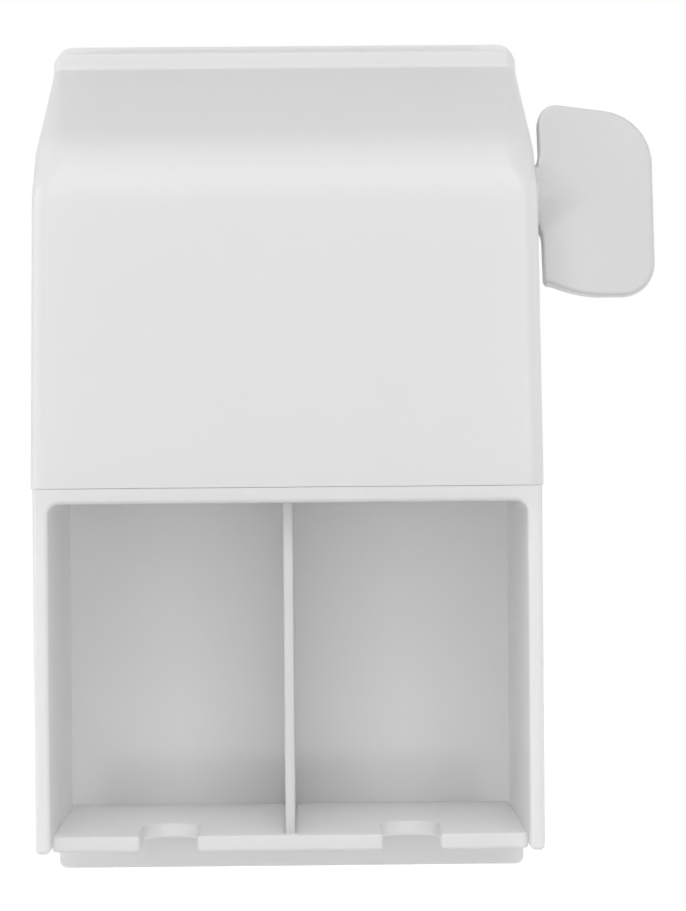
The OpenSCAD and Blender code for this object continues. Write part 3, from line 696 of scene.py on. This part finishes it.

# Ratchet: a moulded acetal wheel on the shaft's square, held by a steel ring, and a pawl on
# a steel pin, pressed to the teeth by a leaf of spring steel.
fine_copy("ratchet_wheel", "ratchet_toothed_wheel", 0.12, acetal, "winder", "bush_plastic")
fine_copy("ratchet_pawl", "ratchet_click_pawl", 0.12, acetal, "pawl", "bush_plastic")
turned_steel = steel("turned_steel", 0.60, 7, (0.08, 1, 1))
fine_copy("pawl_pin", "pawl_pivot_pin", 0.12, turned_steel, "base", "steel")
LEAF_ROOT, LEAF_TIP = (16.2, -11.0), (11.15, -3.4)
spring_steel = steel("spring_steel", 0.48, 8, (0.1, 1, 1))
leaf = fine_copy("pawl_spring", "pawl_leaf_spring", 0.05, spring_steel, None, "steel")
point(0, SHAFT_D + LEAF_ROOT[0], SHAFT_Z + LEAF_ROOT[1])
point(0, SHAFT_D + LEAF_TIP[0], SHAFT_Z + LEAF_TIP[1])
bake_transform(leaf)
fine_copy("retaining_ring", "open_retaining_ring", 0.08, spring_steel, "winder", "steel")

# Roller: black rubber moulded with rings that grip the tube, turning on a steel axle whose
# ends are chamfered and sit in the cheeks.
ROLLER_D, ROLLER_Z, ROLLER_HALF = 49.1, 50.0, 28.1
ROLLER_RADIUS, GROOVE_RADIUS, ROLLER_BORE = 3.5, 3.05, 1.56
RING_COUNT, RING_GAP, RING_STEPS, RING_FLATNESS = 28, 0.16, 8, 0.45


def circle(form, x, radii):
    """Corners of a round about the X axis, one for each radius given, in mm"""
    turns = [2 * math.pi * i / len(radii) for i in range(len(radii))]
    return [form.verts.new(Vector((x, radius * math.cos(t), radius * math.sin(t))) * MM)
            for radius, t in zip(radii, turns)]


def join_circles(form, circles):
    """Faces from each round to the next"""
    for a, b in zip(circles, circles[1:]):
        for i in range(len(a)):
            j = (i + 1) % len(a)
            form.faces.new((a[i], a[j], b[j], b[i]))


def lathe(profile, name, segments=64):
    """Turned skin about the X axis, from points of place along it and radius, in mm"""
    form = bmesh.new()
    join_circles(form, [circle(form, x, [radius] * segments) for x, radius in profile])
    return new_piece(name, form)


def repeat(name, inputs, build):
    """Object made by a Geometry Nodes tree with named inputs, as a plain mesh"""
    tree = bpy.data.node_groups.new(name, "GeometryNodeTree")
    tree.interface.new_socket("Geometry", in_out="OUTPUT", socket_type="NodeSocketGeometry")
    for label, (kind, _) in inputs.items():
        tree.interface.new_socket(label, in_out="INPUT", socket_type="NodeSocket" + kind)
    nodes = Nodes(tree)
    nodes.add("NodeGroupInput")
    given = {label: Socket(nodes, nodes.node.outputs[label]) for label in inputs}
    made = build(nodes, given)
    made = nodes.add("GeometryNodeRealizeInstances", sockets={"Geometry": made})
    made = nodes.add("GeometryNodeMergeByDistance", sockets={
        "Geometry": made, "Distance": 0.000001})
    made = nodes.add("GeometryNodeSetMaterial", sockets={
        "Geometry": made, "Material": given["Material"]})
    nodes.add("NodeGroupOutput", sockets={"Geometry": made})
    piece = new_piece(name, bmesh.new())
    steps = piece.modifiers.new("repeat", "NODES")
    steps.node_group = tree
    for item in tree.interface.items_tree:
        if item.in_out == "INPUT":
            steps[item.identifier] = inputs[item.name][1]
    bake(piece)
    return piece


def ringed_roller(nodes, given):
    """One ring after another along the roller, closed by the two end faces"""
    step = given["Length"].math("DIVIDE", given["Rings"])
    first = nodes.add("ShaderNodeCombineXYZ", sockets={0: given["Length"] * -0.5})
    offset = nodes.add("ShaderNodeCombineXYZ", sockets={0: step})
    line = nodes.add("GeometryNodeMeshLine", sockets={
        "Count": given["Rings"], "Start Location": first, "Offset": offset})
    ring = nodes.add("GeometryNodeObjectInfo", sockets={"Object": given["Ring"]}, out=4)
    ends = nodes.add("GeometryNodeObjectInfo", sockets={"Object": given["Ends"]}, out=4)
    rings = nodes.add("GeometryNodeInstanceOnPoints", sockets={"Points": line, "Instance": ring})
    nodes.add("GeometryNodeJoinGeometry")
    joined = nodes.node
    for part in (rings, ends):
        nodes.tree.links.new(part.link, joined.inputs[0])
    return Socket(nodes, joined.outputs[0])


ring_step = 2 * ROLLER_HALF / RING_COUNT
ring_profile = [(0, GROOVE_RADIUS)]
for i in range(RING_STEPS + 1):
    share = i / RING_STEPS
    ring_profile.append((
        ring_step * (RING_GAP + (1 - 2 * RING_GAP) * share),
        GROOVE_RADIUS + (ROLLER_RADIUS - GROOVE_RADIUS) * math.sin(math.pi * share)**RING_FLATNESS))
ring_profile.append((ring_step, GROOVE_RADIUS))
bore_wall = [(0, ROLLER_BORE), (ring_step, ROLLER_BORE)]
ring = new_piece("ring", merged([lathe(ring_profile, "crest"), lathe(bore_wall, "bore")]))
ends = new_piece("ends", merged([
    lathe([(x, GROOVE_RADIUS), (x, ROLLER_BORE)], "end") for x in (-ROLLER_HALF, ROLLER_HALF)]))
rubber = satin_plastic("rubber_skin", (0.055, 0.055, 0.057), 0.62, 9, 0.03, 2.5)
roller = repeat("ringed_rubber_roller", {
    "Ring": ("Object", ring), "Ends": ("Object", ends), "Rings": ("Int", RING_COUNT),
    "Length": ("Float", 2 * ROLLER_HALF * MM), "Material": ("Material", rubber)}, ringed_roller)
for part in (ring, ends):
    bpy.data.objects.remove(part)
form = bmesh.new()
form.from_mesh(roller.data)
bmesh.ops.translate(form, verts=form.verts, vec=point(0, ROLLER_D, ROLLER_Z))
bmesh.ops.recalc_face_normals(form, faces=form.faces)
form.to_mesh(roller.data)
dress(roller, rubber, "roller", "roller_rubber", "squeeze_roller")
fine_copy("roller_axle", "roller_steel_axle", 0.2, turned_steel, "base", "steel")

# Chassis screws: four zinc-plated steel screws from behind, countersunk in the back plate,
# with a plain cross recess and a coarse thread that cuts its way into the cheeks.
SCREW_X, SCREW_LOW, SCREW_HIGH = 29.5, 2.01, 35.99
SCREW_HEAD, SCREW_HEAD_DEEP, HEAD_EDGE = 2.5, 1.3, 0.1
SCREW_THREAD, SCREW_CORE, THREAD_START, POINT_LONG, SCREW_LONG = 1.3, 0.95, 1.6, 2.2, 9.0
TURNS_PER_MM, STEPS_PER_MM, SCREW_SEGMENTS = 1.05, 12, 24
RECESS_LONG, RECESS_WIDE, RECESS_DEEP, RECESS_TAPER = 1.45, 0.34, 0.9, 0.55


def thread_radii(x):
    """Radii round the screw at a place along it, where the ridge winds on and the point tapers"""
    taper = min(1.0, (SCREW_LONG - x) / POINT_LONG)
    core = SCREW_CORE * (0.25 + 0.75 * taper)
    turns = [(x * TURNS_PER_MM + i / SCREW_SEGMENTS) % 1 for i in range(SCREW_SEGMENTS)]
    return [core + (SCREW_THREAD - SCREW_CORE) * abs(2 * t - 1)**1.5 * taper for t in turns]


def cross_head_screw():
    """Screw along X with its head at the origin: head, coned neck, thread and cross recess"""
    form = bmesh.new()
    neck = [(0.0, SCREW_HEAD - 0.12), (HEAD_EDGE, SCREW_HEAD), (SCREW_HEAD_DEEP, SCREW_THREAD - 0.1)]
    rims = [circle(form, x, [radius] * SCREW_SEGMENTS) for x, radius in neck]
    count = int((SCREW_LONG - THREAD_START) * STEPS_PER_MM)
    for i in range(count + 1):
        x = THREAD_START + (SCREW_LONG - THREAD_START) * i / count
        rims.append(circle(form, x, thread_radii(x)))
    join_circles(form, rims)
    form.faces.new(rims[0])
    form.faces.new(rims[-1])
    bmesh.ops.recalc_face_normals(form, faces=form.faces)
    screw = new_piece("screw", form)
    for y_half, z_half in ((RECESS_LONG, RECESS_WIDE), (RECESS_WIDE, RECESS_LONG)):
        cut = bmesh.new()
        bmesh.ops.create_cube(cut, size=2 * MM)
        for vert in cut.verts:
            deep = vert.co.x > 0
            narrow = RECESS_TAPER if deep else 1
            vert.co = Vector((RECESS_DEEP * MM if deep else -0.5 * MM,
                              vert.co.y * y_half * narrow, vert.co.z * z_half * narrow))
        combine(screw, cut, "DIFFERENCE")
    return screw


def four_screws(nodes, given):
    """A screw at each corner of an upright grid, each turned as the driver left it"""
    grid = nodes.add("GeometryNodeMeshGrid", sockets={
        "Size X": given["Width"], "Size Y": given["Height"], "Vertices X": 2, "Vertices Y": 2})
    grid = nodes.add("GeometryNodeTransform", sockets={
        "Geometry": grid, "Rotation": (math.pi / 2, 0, 0), "Translation": nodes.add(
            "ShaderNodeCombineXYZ", sockets={2: given["Middle"]})})
    spin = nodes.add("FunctionNodeRandomValue", {"data_type": "FLOAT"}, {
        2: 0.0, 3: math.pi, "Seed": given["Seed"]}, out=1)
    turn = nodes.add("ShaderNodeCombineXYZ", sockets={0: spin, 2: -math.pi / 2})
    screw = nodes.add("GeometryNodeObjectInfo", sockets={"Object": given["Screw"]}, out=4)
    return nodes.add("GeometryNodeInstanceOnPoints", sockets={
        "Points": grid, "Instance": screw, "Rotation": nodes.add(
            "FunctionNodeEulerToRotation", sockets={0: turn})})


plated_steel = steel("plated_steel", 0.42, 11)
one_screw = cross_head_screw()
screws = repeat("four_chassis_screws", {
    "Screw": ("Object", one_screw), "Width": ("Float", 2 * SCREW_X * MM),
    "Height": ("Float", (SCREW_HIGH - SCREW_LOW) * MM),
    "Middle": ("Float", (SCREW_HIGH + SCREW_LOW) / 2 * MM), "Seed": ("Int", 4),
    "Material": ("Material", plated_steel)}, four_screws)
bpy.data.objects.remove(one_screw)
dress(screws, plated_steel, "base", "steel", "chassis_screws")

# Adhesive pads: two strips of closed-cell foam with glue on both faces, set in shallow
# pockets in the back plate. Punched from sheet, so their rims are cut, not moulded.
def foam_skin(name, tone):
    """Closed-cell foam: fine open pits of cut cells in a dull pale ground"""
    paint = bpy.data.materials.new(name)
    paint.use_nodes = True
    skin = Nodes(paint.node_tree)
    place = skin.add("ShaderNodeTexCoord", out=3)
    cells = skin.add("ShaderNodeTexVoronoi", sockets={"Vector": place, "Scale": 2600})
    dirt = skin.add("ShaderNodeTexNoise", sockets={"Vector": place, "Scale": 120, "Detail": 3})
    shade = skin.add("ShaderNodeMix", {"data_type": "RGBA"}, {
        0: cells * 0.6 + (dirt - 0.5) * 0.5 + 0.2, 6: (tone * 0.82, tone * 0.82, tone * 0.8, 1),
        7: (tone, tone, tone * 0.98, 1)}, out=2)
    bump = skin.add("ShaderNodeBump", sockets={
        "Strength": 0.6, "Distance": 0.0001, "Height": cells})
    skin.add("ShaderNodeOutputMaterial", sockets={"Surface": skin.add(
        "ShaderNodeBsdfPrincipled", sockets={
            "Base Color": shade, "Roughness": dirt * 0.1 + 0.86, "Normal": bump})})
    return paint


PAD_HALF_W, PAD_HALF_H, PAD_Z, PAD_FRONT, PAD_BACK = 28.95, 6.45, 53.1, -0.79, -0.01
PAD_CORNER, PAD_EDGE = 1.2, 0.12
strips = [new_piece("strip", rounded_plate(
    PAD_HALF_W, PAD_HALF_H, PAD_FRONT, PAD_BACK, PAD_CORNER, PAD_EDGE, z))
    for z in (-PAD_Z, PAD_Z)]
pads = new_piece("foam_pads", merged(strips))
dress(pads, foam_skin("foam", 0.72), "base", "foam", "adhesive_pads")
